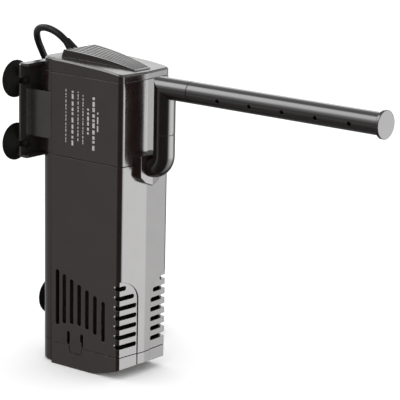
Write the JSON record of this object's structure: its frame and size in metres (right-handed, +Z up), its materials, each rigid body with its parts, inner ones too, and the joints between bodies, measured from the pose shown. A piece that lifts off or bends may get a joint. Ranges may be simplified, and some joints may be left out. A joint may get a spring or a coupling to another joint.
{
  "type": "internal power filter",
  "caption": "Submersible aquarium filter: pump head on a slotted foam container, swivelling outlet, riser and spray bar, suction-cup bracket, mains cord.",
  "frame": {"origin": "on the flat foot of the base cap, under the body's centre, midway between the side panels and 50 mm behind the front corners", "axes": "+Z up along the body, -Y out of the outlet and along the spray bar, +Y to the suction cups, +X to the right seen from the front"},
  "size_m": [0.2103, 0.4714, 0.3149],
  "materials": {
    "gloss_black": "gloss",
    "cap_black": "satin",
    "pipe_black": "gloss",
    "bracket_black": "satin",
    "cup_rubber": "matte",
    "cord_rubber": "matte",
    "seal_rubber": "matte",
    "foam": "matte",
    "core_plastic": "matte",
    "lamination": "brushed",
    "copper": "enamelled",
    "resin": "satin",
    "magnet": "matte",
    "ceramic": "gloss",
    "steel": "brushed",
    "nickel": "polished",
    "tie": "matte"
  },
  "bodies": {
    "base": {"base_cap": "gloss_black"},
    "container": {"filter_container": "gloss_black", "filter_foam": "foam", "core_tube": "core_plastic", "container_cup": "cup_rubber"},
    "pump": {"pump_housing": "gloss_black", "top_cap": "cap_black", "stator_core": "lamination", "stator_coil_left": "copper", "stator_coil_right": "copper", "motor_potting": "resin", "rotor_well": "core_plastic", "rotor_shaft": "ceramic", "shaft_bush_top": "seal_rubber", "shaft_bush_bottom": "seal_rubber", "impeller_cover": "core_plastic", "cover_screws": "steel", "cover_seal": "seal_rubber", "container_seal": "seal_rubber", "cord": "cord_rubber", "cord_coil": "cord_rubber", "cord_tail": "cord_rubber", "cord_tie": "tie", "plug_relief": "cord_rubber", "plug_body": "cord_rubber", "plug_pins": "nickel", "cord_gland": "cord_rubber"},
    "rotor": {"rotor_magnet": "magnet", "impeller": "core_plastic"},
    "elbow": {"lower_elbow": "pipe_black", "outlet_seal": "seal_rubber", "riser_seal": "seal_rubber"},
    "riser": {"upper_elbow": "pipe_black"},
    "bar": {"spray_bar": "pipe_black", "spray_bar_cap": "pipe_black", "bar_seal": "seal_rubber"},
    "bracket": {"bracket": "bracket_black", "suction_cup_lower_left": "cup_rubber", "suction_cup_lower_right": "cup_rubber", "suction_cup_upper_left": "cup_rubber", "suction_cup_upper_right": "cup_rubber"}
  },
  "joints": [
    {"name": "container_release", "type": "slide", "parent": "base", "child": "container", "axis": [0, 0, 1], "range_m": [0, 0.02]},
    {"name": "pump_release", "type": "slide", "parent": "container", "child": "pump", "axis": [0, 0, 1], "range_m": [0, 0.03]},
    {"name": "rotor_spin", "type": "hinge", "parent": "pump", "child": "rotor", "pos_m": [0, 0.004, 0.2], "axis": [0, 0, 1], "continuous": true},
    {"name": "outlet_swivel", "type": "hinge", "parent": "pump", "child": "elbow", "pos_m": [0, -0.0595, 0.1995], "axis": [0, -1, 0], "range_deg": [-90, 90]},
    {"name": "riser_swivel", "type": "hinge", "parent": "elbow", "child": "riser", "pos_m": [0, -0.0722, 0.2319], "axis": [0, 0, 1], "range_deg": [-90, 90]},
    {"name": "bar_roll", "type": "hinge", "parent": "riser", "child": "bar", "pos_m": [0, -0.104, 0.2739], "axis": [0, -1, 0], "continuous": true},
    {"name": "bracket_slide", "type": "slide", "parent": "pump", "child": "bracket", "axis": [0, 0, 1], "range_m": [-0.09, 0]}
  ]
}
